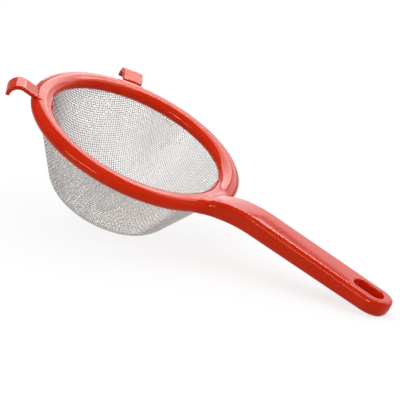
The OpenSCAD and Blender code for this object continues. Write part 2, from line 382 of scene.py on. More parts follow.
@dataclass(frozen=True)
class HandleShape:
    """The handle: an arched neck that grows from the ring, a straight grip and a round tip."""

    rim: RimShape
    reach: float = 123.4
    grip_w: float = 22.0
    neck_t: float = 12.2
    tip_t: float = 9.5
    neck_rise_deg: float = 30.0
    grip_rise_deg: float = 6.5
    arch_r: float = 100.0
    neck_lift: float = 0.3
    root_fillet: float = 9.0
    top_edge_r: float = 3.0
    low_edge_r: float = 3.0
    neck_clear: float = 0.3
    root_edge: float = 0.6
    most_flare: float = 0.9
    most_edge: float = 0.9
    root_round: float = 0.8
    least_axis: float = 1e-3
    bow_passes: int = 8
    corner_cols: int = 20
    root_step: float = 0.4
    root_past: float = 3.0
    neck_past: float = 3.1
    neck_rows: int = 26
    grip_rows: int = 40
    tip_rows: int = 40

    @property
    def tip_x(self) -> float:
        """Distance of the tip from the rim's middle."""
        return self.rim.outer_r + self.reach

    @property
    def tip_r(self) -> float:
        """Radius of the round tip in plan."""
        return self.grip_w / 2

    @property
    def tip_mid(self) -> float:
        """Where the round tip begins, at the middle of its half circle."""
        return self.tip_x - self.tip_r

    @property
    def fillet_x(self) -> float:
        """Where the fillet in plan begins to widen the neck."""
        return self.rim.outer_r + self.root_fillet

    @property
    def root_x(self) -> float:
        """Where the neck ends inside the ring."""
        return self.rim.mid_r - self.rim.width / 4

    @property
    def grip_rise(self) -> float:
        """Slope of the grip, in radians."""
        return math.radians(self.grip_rise_deg)

    @property
    def arch_x(self) -> float:
        """Centre of the arch along the handle."""
        return self.rim.mid_r + self.arch_r * math.sin(math.radians(self.neck_rise_deg))

    @property
    def arch_z(self) -> float:
        """Height of the centre of the arch."""
        rise = self.arch_r * math.cos(math.radians(self.neck_rise_deg))
        return self.rim.height / 2 + self.neck_lift - rise

    @property
    def bend_x(self) -> float:
        """Where the arch runs into the straight grip."""
        return self.arch_x - self.arch_r * math.sin(self.grip_rise)

    def top(self, x: Points) -> Points:
        """Height of the upper face: the arch's circle, then the grip's slope.

        Args:
            x: Places along the handle.

        Returns:
            Heights.
        """
        arch = self.arch_z + np.sqrt(np.maximum(self.arch_r**2 - (self.arch_x - x) ** 2, 0.0))
        bend_z = self.arch_z + self.arch_r * math.cos(self.grip_rise)
        return np.where(x < self.bend_x, arch, bend_z + (x - self.bend_x) * math.tan(self.grip_rise))

    def low(self, x: Points) -> Points:
        """Height of the lower face: the upper face less the thickness, kept above the ring's seat.

        Args:
            x: Places along the handle.

        Returns:
            Heights.
        """
        run = np.maximum(0.0, x - self.rim.outer_r) / self.reach
        thickness = self.neck_t + (self.tip_t - self.neck_t) * run
        return np.maximum(self.rim.seat_z + self.neck_clear, self.top(x) - thickness)

    def half_width(self, x: Points) -> Points:
        """Half the width in plan: a fillet at the ring, an even grip and a half circle at the tip.

        Args:
            x: Places along the handle.

        Returns:
            Half widths.
        """
        tip = np.sqrt(np.maximum(0.0, self.tip_r**2 - (x - self.tip_mid) ** 2))
        run = np.clip(self.fillet_x - x, 0.0, self.most_flare * self.root_fillet)
        flare = self.tip_r + self.root_fillet - np.sqrt(self.root_fillet**2 - run**2)
        return np.where(x > self.tip_mid, tip, flare)

    def root_share(self, x: Points) -> Points:
        """How far the neck has run into the ring: a smooth step, 0 at the fillet's end and 1 at the ring."""
        t = np.clip((self.fillet_x - x) / self.root_fillet, 0.0, 1.0)
        return t * t * (3 - 2 * t)

    def measures(self, x: Points) -> dict[str, Points]:
        """Heights, half width and corner sizes of the cross-section at each x.

        Args:
            x: Places along the handle.

        Returns:
            Upper and lower height, half width, share of the root, and the corners' half axes.
        """
        end = self.tip_x - x
        share = self.root_share(x)
        top = self.top(x) - edge_drop(end, self.top_edge_r)
        low = self.low(np.minimum(x, self.tip_x - self.low_edge_r)) + edge_drop(end, self.low_edge_r)
        half = self.half_width(x)

        def blend(grip: Points, root: Points) -> Points:
            """Value between that of the grip and that of the root."""
            return grip + (root - grip) * share

        return {
            "top": top,
            "low": low,
            "half": half,
            "share": share,
            "top_a": blend(np.minimum(self.top_edge_r, self.most_edge * half), self.root_round * half),
            "top_b": blend(np.full_like(x, self.top_edge_r), top - self.root_edge / 2),
            "low_a": blend(np.minimum(self.low_edge_r, self.most_edge * half), self.root_round * half),
            "low_b": blend(np.full_like(x, self.low_edge_r), -low - self.root_edge / 2),
        }

    def stations(self) -> Points:
        """Places of the cross-sections: close at the root and the tip, wider on the grip.

        Returns:
            Places along the handle, in order.
        """
        return np.concatenate([
            np.arange(self.root_x, self.fillet_x + self.root_past, self.root_step),
            np.linspace(self.fillet_x + self.neck_past, self.bend_x, self.neck_rows, endpoint=False),
            np.linspace(self.bend_x, self.tip_mid, self.grip_rows, endpoint=False),
            np.sin(np.linspace(0.0, math.pi / 2, self.tip_rows)) * self.tip_r + self.tip_mid,
        ])

    def loft(self) -> Points:
        """Cross-sections along the handle, each of four quarter ellipses, bowed round the axis at the root.

        Returns:
            Points as stations, places round the section and coordinates.
        """
        x = self.stations()
        m = self.measures(x)
        t = quarters(np.linspace(0.0, math.pi / 2, self.corner_cols)).ravel()
        right = np.repeat([1.0, -1.0, -1.0, 1.0], self.corner_cols)
        upper = np.repeat([True, True, False, False], self.corner_cols)
        a = np.where(upper, m["top_a"][:, None], m["low_a"][:, None])
        b = np.where(upper, m["top_b"][:, None], m["low_b"][:, None])
        centre = np.where(upper, (m["top"] - m["top_b"])[:, None], (m["low"] + m["low_b"])[:, None])
        y = right * (m["half"][:, None] - a) + a * np.cos(t)
        z = centre + b * np.sin(t)
        bow = x[:, None] - np.sqrt(np.maximum(0.0, x[:, None] ** 2 - y**2))
        return np.stack([x[:, None] - m["share"][:, None] * bow, y, z], axis=-1)

    def distance(self, points: Points) -> Points:
        """Distance from the handle, measured in the cross-section that passes through each point.

        Across the ring from the handle it is the distance to the root.

        Args:
            points: Points as lines of x, y and z.

        Returns:
            Distances, negative inside the handle.
        """
        x = points[:, 0].copy()
        y = np.abs(points[:, 1])
        for _ in range(self.bow_passes):
            bow = x - np.sqrt(np.maximum(0.0, x**2 - y**2))
            x = points[:, 0] + self.root_share(x) * bow
        m = self.measures(x)
        z = points[:, 2]
        upper = z > (m["top"] - m["top_b"] + m["low"] + m["low_b"]) / 2
        a = np.maximum(np.where(upper, m["top_a"], m["low_a"]), self.least_axis)
        b = np.maximum(np.where(upper, m["top_b"], m["low_b"]), self.least_axis)
        u = y - (m["half"] - a)
        v = np.where(upper, z - (m["top"] - b), m["low"] + b - z)
        scaled = np.hypot(u / a, v / b)
        slope = np.hypot(u / a**2, v / b**2)
        corner = scaled * (scaled - 1) / np.maximum(slope, TINY)
        section = np.where((u > 0) & (v > 0), corner, np.maximum(u - a, v - b))
        return np.where(points[:, 0] > 0, section, self.root_x - points[:, 0])


@dataclass(frozen=True)
class HookShape:
    """A rest hook: a strap that rises from the ring and bends down."""

    rim: RimShape
    angle_deg: float = 43.0
    width: float = 13.5
    thick: float = 2.5
    bend_r: float = 8.0
    reach: float = 15.6
    crest_z: float = 7.2
    slope_deg: float = 15.0
    turn_deg: float = 8.0
    edge_r: float = 0.6
    row_step: float = 0.4
    end_rows: int = 7
    flat_cols: int = 20
    corner_cols: int = 6
    digits: int = 6

    @property
    def bend_x(self) -> float:
        """Distance of the bend's centre from the rim's axis."""
        return self.rim.outer_r + self.reach - self.bend_r

    @property
    def bend_z(self) -> float:
        """Height of the bend's centre."""
        return self.crest_z - self.bend_r

    @property
    def mid_r(self) -> float:
        """Radius of the bend at the middle of the strap."""
        return self.bend_r - self.thick / 2

    @property
    def slope(self) -> float:
        """Rise of the strap's straight part, in radians."""
        return math.radians(self.slope_deg)

    def turn_out(self, side: HookSide) -> Points:
        """Turn about the rim's axis that carries the hook from +X to its place."""
        return turn_z(math.pi - side.value * math.radians(self.angle_deg))

    def centre_line(self) -> tuple[Points, Points]:
        """Middle of the strap from inside the ring to the hook's end, a line and then an arc.

        Returns:
            Points in the hook's own plane, and unit normals towards the outside of the bend.
        """
        start = math.pi / 2 + self.slope
        sweep = start + math.radians(self.turn_deg)
        straight = self.bend_x - self.rim.mid_r
        length = straight + self.mid_r * sweep
        last = length - self.edge_r
        ease = self.edge_r * (1 - np.cos(np.linspace(0.0, math.pi / 2, self.end_rows)))
        run = np.concatenate([np.arange(0.0, last, self.row_step), last + ease, length - ease])
        run = np.unique(run.round(self.digits))
        normal = circle(start - np.clip(run - straight, 0.0, None) / self.mid_r)
        back = np.minimum(run - straight, 0.0)[:, None]
        along = np.array([math.cos(self.slope), math.sin(self.slope)])
        return np.array([self.bend_x, self.bend_z]) + normal * self.mid_r + back * along, normal

    def loft(self) -> Points:
        """Strap of a rounded rectangle carried along the centre line, with a rounded end.

        Returns:
            Points as stations, places round the section and coordinates, in the hook's own plane along +X.
        """
        line, normal = self.centre_line()
        left = np.concatenate([np.cumsum(np.linalg.norm(np.diff(line[::-1], axis=0), axis=1))[::-1], [0.0]])
        drop = edge_drop(left, self.edge_r)
        half_u = self.width / 2 - self.edge_r
        half_v = self.thick / 2 - self.edge_r
        signs = np.array([[1, 1], [-1, 1], [-1, -1], [1, -1]]) * [half_u, half_v]
        arc = quarters(np.linspace(0.0, math.pi / 2, self.corner_cols))
        corner = circle(arc) * self.edge_r + signs[:, None]
        flat = np.linspace(-1.0, 1.0, self.flat_cols + 2)[1:-1]
        upper = np.stack([-flat * half_u, np.full(self.flat_cols, half_v + self.edge_r)], axis=1)
        ring = np.concatenate([corner[0], upper, corner[1], corner[2], -upper, corner[3]])
        inset = ring - np.sign(ring) * np.minimum(drop[:, None, None], np.abs(ring))
        flat_points = line[:, None, :] + inset[:, :, 1:] * normal[:, None, :]
        return np.stack([flat_points[..., 0], inset[..., 0], flat_points[..., 1]], axis=-1)

    def distance(self, points: Points) -> Points:
        """Distance from the strap: a rounded rectangle about the nearest point of the centre line.

        Args:
            points: Points in the hook's own plane along +X.

        Returns:
            Distances, negative inside the strap.
        """
        u = points[:, 0] - self.bend_x
        v = points[:, 2] - self.bend_z
        c, s = math.cos(self.slope), math.sin(self.slope)
        back = u * c + v * s
        lift = -u * s + v * c
        off = np.where(back < 0, np.abs(lift - self.mid_r), np.abs(np.hypot(u, v) - self.mid_r))
        a = off - self.thick / 2 + self.edge_r
        b = np.abs(points[:, 1]) - self.width / 2 + self.edge_r
        outside = np.hypot(np.maximum(a, 0.0), np.maximum(b, 0.0))
        return outside + np.minimum(np.maximum(a, b), 0.0) - self.edge_r


@dataclass(frozen=True)
class RestPose:
    """How the strainer lies: on the round corner of the basket and the rounded end of the handle."""

    bowl: BowlShape
    handle: HandleShape

    @property
    def tilt(self) -> float:
        """Turn about the cross axis that brings both contacts to the table.

        Returns:
            The turn in radians: the slope between the two rounds' centres, and the angle by which a
            line that touches both rounds from below leans more.
        """
        reach = self.handle.low_edge_r
        tip = self.handle.tip_x - reach
        run = tip - self.bowl.flat_r
        rise = float(self.handle.low(np.array([tip]))[0]) + reach - self.bowl.corner_z
        return math.atan2(rise, run) + math.asin((self.bowl.corner_r - reach) / math.hypot(run, rise))

    def laid(self, points: Points) -> Points:
        """Points turned onto the table, in metres, with the basket's contact as the origin.

        Args:
            points: Points in the strainer's own frame, in millimetres.

        Returns:
            Points as lines of x, y and z.
        """
        c, s = math.cos(self.tilt), math.sin(self.tilt)
        x0 = self.bowl.flat_r * c + self.bowl.corner_z * s
        z0 = self.bowl.corner_z * c - self.bowl.flat_r * s - self.bowl.corner_r
        x = c * points[:, 0] + s * points[:, 2] - x0
        z = c * points[:, 2] - s * points[:, 0] - z0
        return np.stack([x, points[:, 1], z], axis=1) * MM


@dataclass
class Skin:
    """Points and faces of a piece, before it is laid on the table."""

    points: Points
    faces: list[np.ndarray]

    def to_object(self, name: str, rest: RestPose, weld: bool = False) -> Piece:
        """Makes the mesh object, smooth shaded, at the origin.

        Args:
            name: Name of the piece.
            rest: How the strainer lies.
            weld: Whether points that meet are merged.

        Returns:
            The new object.
        """
        mesh = bpy.data.meshes.new(name)
        counts = np.concatenate([np.full(len(f), f.shape[1]) for f in self.faces])
        corners = np.concatenate([f.ravel() for f in self.faces]).astype(np.int32)
        mesh.vertices.add(len(self.points))
        mesh.vertices.foreach_set("co", rest.laid(self.points).astype(np.float32).ravel())
        mesh.loops.add(len(corners))
        mesh.loops.foreach_set("vertex_index", corners)
        mesh.polygons.add(len(counts))
        mesh.polygons.foreach_set("loop_start", (np.cumsum(counts) - counts).astype(np.int32))
        mesh.update(calc_edges=True)
        mesh.validate()
        if weld:
            work = bmesh.new()
            work.from_mesh(mesh)
            bmesh.ops.remove_doubles(work, verts=work.verts, dist=WELD_GAP)
            work.to_mesh(mesh)
            work.free()
        mesh.shade_smooth()
        piece = bpy.data.objects.new(name, mesh)
        bpy.context.scene.collection.objects.link(piece)
        return piece


def end_fan(row: np.ndarray, centre: int, flip: bool) -> np.ndarray:
    """Triangles from a ring of point numbers to the number of the point in its middle."""
    fan = np.stack([row, np.roll(row, -1), np.full(len(row), centre)], axis=1)
    return fan[:, ::-1] if flip else fan


def capped_tube(points: Points, cols: int, flip: bool) -> Skin:
    """Skin of rings of points joined in order, with a fan of triangles over both ends.

    Args:
        points: Points ring by ring.
        cols: Number of points in a ring.
        flip: Whether the faces turn the other way.

    Returns:
        The closed skin, with the middles of the two ends as its last points.
    """
    ends = np.stack([points[:cols].mean(axis=0), points[-cols:].mean(axis=0)])
    ring = np.arange(cols)
    return Skin(np.concatenate([points, ends]), [
        grid_faces(len(points) // cols, cols, False, True, flip),
        end_fan(ring, len(points), flip),
        end_fan(ring + len(points) - cols, len(points) + 1, not flip),
    ])


def dress_piece(piece: Piece, finish: Material) -> None:
    """Gives a piece its finish and the body that it rides on, and reports it.

    Args:
        piece: The piece.
        finish: Its material.
    """
    piece.data.materials.clear()
    piece.data.materials.append(finish)
    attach(piece, "root")
    LOG.info("%s: %d faces", piece.name, len(piece.data.polygons))


class NodeSheet:
    """A small helper that adds nodes and links to one node tree."""

    def __init__(self, tree: bpy.types.NodeTree) -> None:
        """Keeps the tree and empties it."""
        self.tree = tree
        tree.nodes.clear()

    def add(self, kind: str, links: dict | None = None, **settings: object) -> bpy.types.Node:
        """Adds a node, sets its properties and fills its inputs.

        Args:
            kind: Type name of the node.
            links: Inputs by name or number, each a value or an output socket.
            settings: Properties of the node.

        Returns:
            The new node.
        """
        node = self.tree.nodes.new(kind)
        for key, value in settings.items():
            setattr(node, key, value)
        for key, value in (links or {}).items():
            if isinstance(value, Socket):
                self.tree.links.new(value, node.inputs[key])
            else:
                node.inputs[key].default_value = value
        return node

    def calc(self, operation: str, a: object, b: object) -> Socket:
        """Adds a Math node and gives its result."""
        return self.add("ShaderNodeMath", {0: a, 1: b}, operation=operation).outputs["Value"]

    def span(self, value: Socket, to: Span = UNIT, of: Span = UNIT, ease: str = "LINEAR") -> Socket:
        """Adds a Map Range node from a span of values to a span of results, and gives its result."""
        ends = {"Value": value, "From Min": of[0], "From Max": of[1], "To Min": to[0], "To Max": to[1]}
        return self.add("ShaderNodeMapRange", ends, interpolation_type=ease).outputs["Result"]

    def bump(self, strength: float, distance: float, height: Socket) -> Socket:
        """Adds a Bump node and gives its normal."""
        links = {"Strength": strength, "Distance": distance, "Height": height}
        return self.add("ShaderNodeBump", links).outputs["Normal"]

    def tint(self, share: Socket, first: Colour, second: Colour) -> Socket:
        """Adds a Mix node between two colours, by number because its sockets share their names."""
        pair = {"Factor": share, 6: (*first, 1.0), 7: (*second, 1.0)}
        return self.add("ShaderNodeMix", pair, data_type="RGBA").outputs[2]

    def mottle(self, cloud_scale: float, grain_scale: float) -> bpy.types.Node:
        """Adds the shared mottling on Object coordinates.

        Args:
            cloud_scale: Scale of the clouds.
            grain_scale: Scale of the grain.

        Returns:
            The node, with outputs Cloud and Grain.
        """
        place = self.add("ShaderNodeTexCoord").outputs["Object"]
        scales = {"Vector": place, "Cloud Scale": cloud_scale, "Grain Scale": grain_scale}
        return self.add("ShaderNodeGroup", scales, node_tree=mottle_group())


def mottle_group() -> bpy.types.NodeTree:
    """Shared group: soft mottling of a surface as one value from 0 to 1, and a fine height.

    Returns:
        The group, with inputs Vector, Cloud Scale and Grain Scale and outputs Cloud and Grain.
    """
    found = bpy.data.node_groups.get("soft_mottle")
    if found:
        return found
    tree = bpy.data.node_groups.new("soft_mottle", "ShaderNodeTree")
    tree.interface.new_socket("Vector", in_out="INPUT", socket_type="NodeSocketVector")
    for name in ("Cloud Scale", "Grain Scale"):
        tree.interface.new_socket(name, in_out="INPUT", socket_type="NodeSocketFloat")
    for name in ("Cloud", "Grain"):
        tree.interface.new_socket(name, in_out="OUTPUT", socket_type="NodeSocketFloat")
    sheet = NodeSheet(tree)
    inlet = sheet.add("NodeGroupInput").outputs
    cloud = sheet.add("ShaderNodeTexNoise", {
        "Vector": inlet["Vector"],
        "Scale": inlet["Cloud Scale"],
        "Detail": CLOUD_DETAIL,
        "Roughness": CLOUD_ROUGHNESS,
    })
    grain = sheet.add("ShaderNodeTexNoise", {
        "Vector": inlet["Vector"],
        "Scale": inlet["Grain Scale"],
        "Detail": GRAIN_DETAIL,
    })
    sheet.add("NodeGroupOutput", {
        "Cloud": sheet.span(cloud.outputs["Fac"], of=CLOUD_SPAN),
        "Grain": grain.outputs["Fac"],
    })
    return tree


def new_material(name: str) -> tuple[Material, NodeSheet]:
    """Makes an empty material.

    Args:
        name: Name of the material.

    Returns:
        The material and the sheet of its nodes.
    """
    made = bpy.data.materials.new(name)
    made.use_nodes = True
    return made, NodeSheet(made.node_tree)


@dataclass(frozen=True)
class GlossPlastic:
    """Gloss moulded plastic: a clear red with slow flow shading and a faint ripple left by the mould."""

    name: str = "gloss_red_plastic"
    light_red: Colour = (0.84, 0.034, 0.006)
    deep_red: Colour = (0.76, 0.026, 0.004)
    flow_scale: float = 38.0
    gloss: Span = (0.05, 0.09)
    ripple: float = 0.0015
    ripple_h: float = 0.0006
    ripple_scale: float = 260.0
    specular: float = 0.17
    mirror_tint: Colour = (1.0, 0.54, 0.38)

    def material(self) -> Material:
        """Builds the material.

        Returns:
            The finished material.
        """
        made, sheet = new_material(self.name)
        mottle = sheet.mottle(self.flow_scale, self.ripple_scale).outputs
        body = sheet.add("ShaderNodeBsdfPrincipled", {
            "Base Color": sheet.tint(mottle["Cloud"], self.deep_red, self.light_red),
            "Roughness": sheet.span(mottle["Cloud"], self.gloss),
            "Normal": sheet.bump(self.ripple, self.ripple_h, mottle["Grain"]),
            "Specular IOR Level": self.specular,
            "Specular Tint": (*self.mirror_tint, 1.0),
        })
        sheet.add("ShaderNodeOutputMaterial", {"Surface": body.outputs["BSDF"]})
        return made


@dataclass(frozen=True)
class DrawnWire:
    """Bright drawn stainless wire: each wire a little lighter or darker, with faint drawing marks."""

    name: str = "bright_drawn_wire"
    bright: Colour = (0.64, 0.62, 0.60)
    dull: Colour = (0.42, 0.39, 0.37)
    gloss: Span = (0.24, 0.40)
    cloud_scale: float = 60.0
    mark_scale: float = 2400.0

    def material(self) -> Material:
        """Builds the material, which reads each wire's own tone from its attribute.

        Returns:
            The finished material.
        """
        made, sheet = new_material(self.name)
        mottle = sheet.mottle(self.cloud_scale, self.mark_scale).outputs
        tone = sheet.add("ShaderNodeAttribute", attribute_name=TONE)
        share = sheet.calc("MULTIPLY", tone.outputs["Fac"], mottle["Grain"])
        body = sheet.add("ShaderNodeBsdfPrincipled", {
            "Base Color": sheet.tint(share, self.bright, self.dull),
            "Roughness": sheet.span(mottle["Cloud"], self.gloss),
            "Metallic": 1.0,
        })
        sheet.add("ShaderNodeOutputMaterial", {"Surface": body.outputs["BSDF"]})
        return made


@dataclass(frozen=True)
class StudioPaper:
    """White paper of the floor: it takes the shadow, and is mostly glow for the camera and reflections."""

    name: str = "studio_paper"
    white: float = 0.60
    share: float = 0.45
    glow: float = 1.66
    fibre: float = 0.02
    fibre_h: float = 0.0005
    fibre_scale: float = 900.0

    def material(self) -> Material:
        """Builds the material.

        Returns:
            The finished material.
        """
        made, sheet = new_material(self.name)
        path = sheet.add("ShaderNodeLightPath").outputs
        seen = sheet.calc("MAXIMUM", path["Is Camera Ray"], path["Is Glossy Ray"])
        seen = sheet.calc("MAXIMUM", seen, path["Is Transmission Ray"])
        place = sheet.add("ShaderNodeTexCoord").outputs["Object"]
        fibre = sheet.add("ShaderNodeTexNoise", {"Vector": place, "Scale": self.fibre_scale})
        paper = sheet.add("ShaderNodeBsdfDiffuse", {
            "Color": (self.white, self.white, self.white, 1.0),
            "Normal": sheet.bump(self.fibre, self.fibre_h, fibre.outputs["Fac"]),
        })
        glow = sheet.add("ShaderNodeEmission", {"Strength": self.glow})
        both = sheet.add("ShaderNodeMixShader", {
            "Fac": sheet.calc("MULTIPLY", seen, self.share),
            1: paper.outputs["BSDF"],
            2: glow.outputs["Emission"],
        })
        sheet.add("ShaderNodeOutputMaterial", {"Surface": both.outputs["Shader"]})
        return made


@dataclass
class MouldedFrame:
    """The frame, moulded in one piece: ring, handle with hanging slot, and two rest hooks."""

    rim: RimShape
    handle: HandleShape
    hook: HookShape
    rest: RestPose
    finish: GlossPlastic = field(default_factory=GlossPlastic)
    neck_reach: float = 2.6
    hook_reach: float = 1.4
    slot_w: float = 9.6
    slot_len: float = 19.5
    slot_lip: float = 0.9
    slot_past: float = 2.0
    slot_cols: int = 96
    slot_offset: float = 1e-4
    lip_from_deg: float = 10.0
    lip_rows: int = 10
    sharp_deg: float = 40.0
    section_step: float = 0.5
    oval_slack: float = 0.02
    ring_samples: int = 14401
    ring_wide: float = 1.3
    ring_close: float = 0.45
    neck_span_deg: float = 21.0
    hook_span_deg: float = 10.0
    span_fade: float = 0.05

    def ring_angles(self) -> Points:
        """Places round the ring, close where the handle and hooks join it and wider between.

        Returns:
            Angles in radians, from -pi up.
        """
        fine = np.linspace(-math.pi, math.pi, self.ring_samples)
        joints = np.radians([0.0, 180.0 - self.hook.angle_deg, self.hook.angle_deg - 180.0])
        spans = np.radians([self.neck_span_deg, self.hook_span_deg, self.hook_span_deg])
        off = np.abs((fine[:, None] - joints + math.pi) % (2 * math.pi) - math.pi)
        near = np.clip((spans + self.span_fade - off) / self.span_fade, 0.0, 1.0).max(axis=1)
        per_mm = 1 / self.ring_wide + (1 / self.ring_close - 1 / self.ring_wide) * near
        total = np.concatenate([[0.0], np.cumsum((per_mm[1:] + per_mm[:-1]) / 2)])
        count = round(total[-1] * (fine[1] - fine[0]) * self.rim.outer_r)
        return np.interp(np.arange(count) / count, total / total[-1], fine)

    def hook_distance(self, side: HookSide) -> Distance:
        """Function that gives points' distances from a hook in its place."""
        turn = self.hook.turn_out(side)
        return lambda points: self.hook.distance(points @ turn)

    def build_ring(self) -> Piece:
        """Ring: the section carried round the axis, with fillets up to the neck and the hooks.

        Returns:
            The ring's object.
        """
        section = self.rim.section(self.section_step)
        around = circle(self.ring_angles())
        step = np.roll(section, -1, axis=0) - np.roll(section, 1, axis=0)
        out = unit(np.stack([step[:, 1], -step[:, 0]], axis=1))

        def carried(profile: Points) -> Points:
            """Carries a profile round the axis.

            Args:
                profile: Radius and height of each point or arrow.

            Returns:
                Lines of x, y and z, place by place round the ring.
            """
            grid = np.empty((len(around), len(profile), 3))
            grid[..., :2] = around[:, None, :] * profile[None, :, :1]
            grid[..., 2] = profile[None, :, 1]
            return grid.reshape(-1, 3)

        points, outward = carried(section), carried(out)
        on_oval = np.abs(self.rim.distance(points)) < self.oval_slack
        joints = [(self.handle.distance, self.neck_reach)]
        joints += [(self.hook_distance(side), self.hook_reach) for side in HookSide]
        for other, reach in joints:
            near = on_oval & (other(points) < reach)
            points[near] = swell(points[near], outward[near], self.rim.distance, other, reach)
        quads = grid_faces(len(around), len(section), True, True)
        return Skin(points, [quads]).to_object("frame_ring", self.rest)

    def filleted(self, grid: Points, own: Distance, reach: float, end_x: float, out: int) -> Points:
        """Points of a loft, moved out to the smooth union with the ring.

        Args:
            grid: The loft.
            own: Distance from the loft's body.
            reach: Reach of the fillet.
            end_x: Place along the loft past which nothing is moved.
            out: 1 where the grid's normals point out of the body, else -1.

        Returns:
            Points row by row.
        """
        outward = out * grid_normals(grid).reshape(-1, 3)
        points = grid.reshape(-1, 3).copy()
        near = (self.rim.distance(points) < reach) & (points[:, 0] < end_x)
        points[near] = swell(points[near], outward[near], own, self.rim.distance, reach)
        return points

    def build_handle(self) -> Piece:
        """Handle: the loft with its fillet to the ring, less the hanging slot.

        Returns:
            The handle's object.
        """
        grid = self.handle.loft()
        rows, cols = grid.shape[:2]
        points = self.filleted(grid, self.handle.distance, self.neck_reach, self.handle.fillet_x, 1)
        quads = grid_faces(rows, cols, False, True, flip=True)
        middle = points[:cols].mean(axis=0)
        fan = end_fan(np.arange(cols), len(points), flip=True)
        skin = Skin(np.concatenate([points, middle[None]]), [quads, fan])
        piece = skin.to_object("frame_handle", self.rest, weld=True)
        self.cut_slot(piece)
        return piece

    def slot_cutter(self) -> Skin:
        """Body of the hanging slot: a round-ended outline that flares as a quarter round at both faces.

        Returns:
            The closed cutter, square to the grip's upper face.
        """
        end = self.handle.tip_mid
        c, s = math.cos(self.handle.grip_rise), math.sin(self.handle.grip_rise)
        t = np.linspace(0.0, 2 * math.pi, self.slot_cols, endpoint=False) - math.pi / 2 + self.slot_offset
        out = circle(t)
        shift = np.where(out[:, :1] < 0, [[self.slot_w - self.slot_len, 0.0]], [[0.0, 0.0]])
        base = out * (self.slot_w / 2) + shift
        turn = np.radians(np.linspace(self.lip_from_deg, 90.0, self.lip_rows))
        grow = self.slot_lip * (1 - np.sin(turn))
        deep = self.slot_lip * (1 - np.cos(turn))
        span = base[:, 0] * c + end
        thick = (self.handle.top(span) - self.handle.low(span)) * c
        grow_all = np.concatenate([[grow[0]], grow, grow[::-1], [grow[0]]])
        upper = np.concatenate([[self.slot_past], -deep])
        lower = np.concatenate([deep[::-1], [-self.slot_past]])
        level = np.concatenate([np.repeat(upper[:, None], len(t), 1), lower[:, None] - thick[None, :]])
        flat = base[None, :, :] + out[None, :, :] * grow_all[:, None, None]
        top = float(self.handle.top(np.array([end]))[0])
        x = end + c * flat[..., 0] - s * level
        z = top + s * flat[..., 0] + c * level
        return capped_tube(np.stack([x, flat[..., 1], z], axis=-1).reshape(-1, 3), len(t), flip=False)

    def cut_slot(self, piece: Piece) -> None:
        """Takes the hanging slot out of the handle for good.

        Args:
            piece: The handle's object.
        """
        cutter = self.slot_cutter().to_object("slot_cutter", self.rest)
        cut = piece.modifiers.new("hanging_slot", "BOOLEAN")
        cut.operation = "DIFFERENCE"
        cut.solver = "EXACT"
        cut.object = cutter
        view = bpy.context.evaluated_depsgraph_get()
        done = bpy.data.meshes.new_from_object(piece.evaluated_get(view))
        piece.modifiers.clear()
        piece.data = done
        done.shade_smooth()
        done.set_sharp_from_angle(angle=math.radians(self.sharp_deg))
        bpy.data.objects.remove(cutter)

    def build_hook(self, side: HookSide) -> Piece:
        """Rest hook: the strap's loft with its fillet to the ring.

        Args:
            side: Which hook.

        Returns:
            The hook's object.
        """
        grid = self.hook.loft()
        points = self.filleted(grid, self.hook.distance, self.hook_reach, self.hook.bend_x, -1)
        skin = capped_tube(points, grid.shape[1], flip=True)
        skin.points = skin.points @ self.hook.turn_out(side).T
        return skin.to_object(f"frame_hook_{side.name.lower()}", self.rest)

    def dress(self, nodes: dict[str, Piece]) -> None:
        """Builds the frame's pieces and gives them their finish, and the clamp ring too.

        Args:
            nodes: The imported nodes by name.
        """
        plastic = self.finish.material()
        made = {
            "rim": self.build_ring(),
            "handle": self.build_handle(),
            "hook_left": self.build_hook(HookSide.LEFT),
            "hook_right": self.build_hook(HookSide.RIGHT),
        }
        for node, piece in made.items():
            dress_piece(piece, plastic)
            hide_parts(node)
        for place in nodes["clamp_ring"].material_slots:
            place.material = plastic
        LOG.info("clamp_ring: finish only")


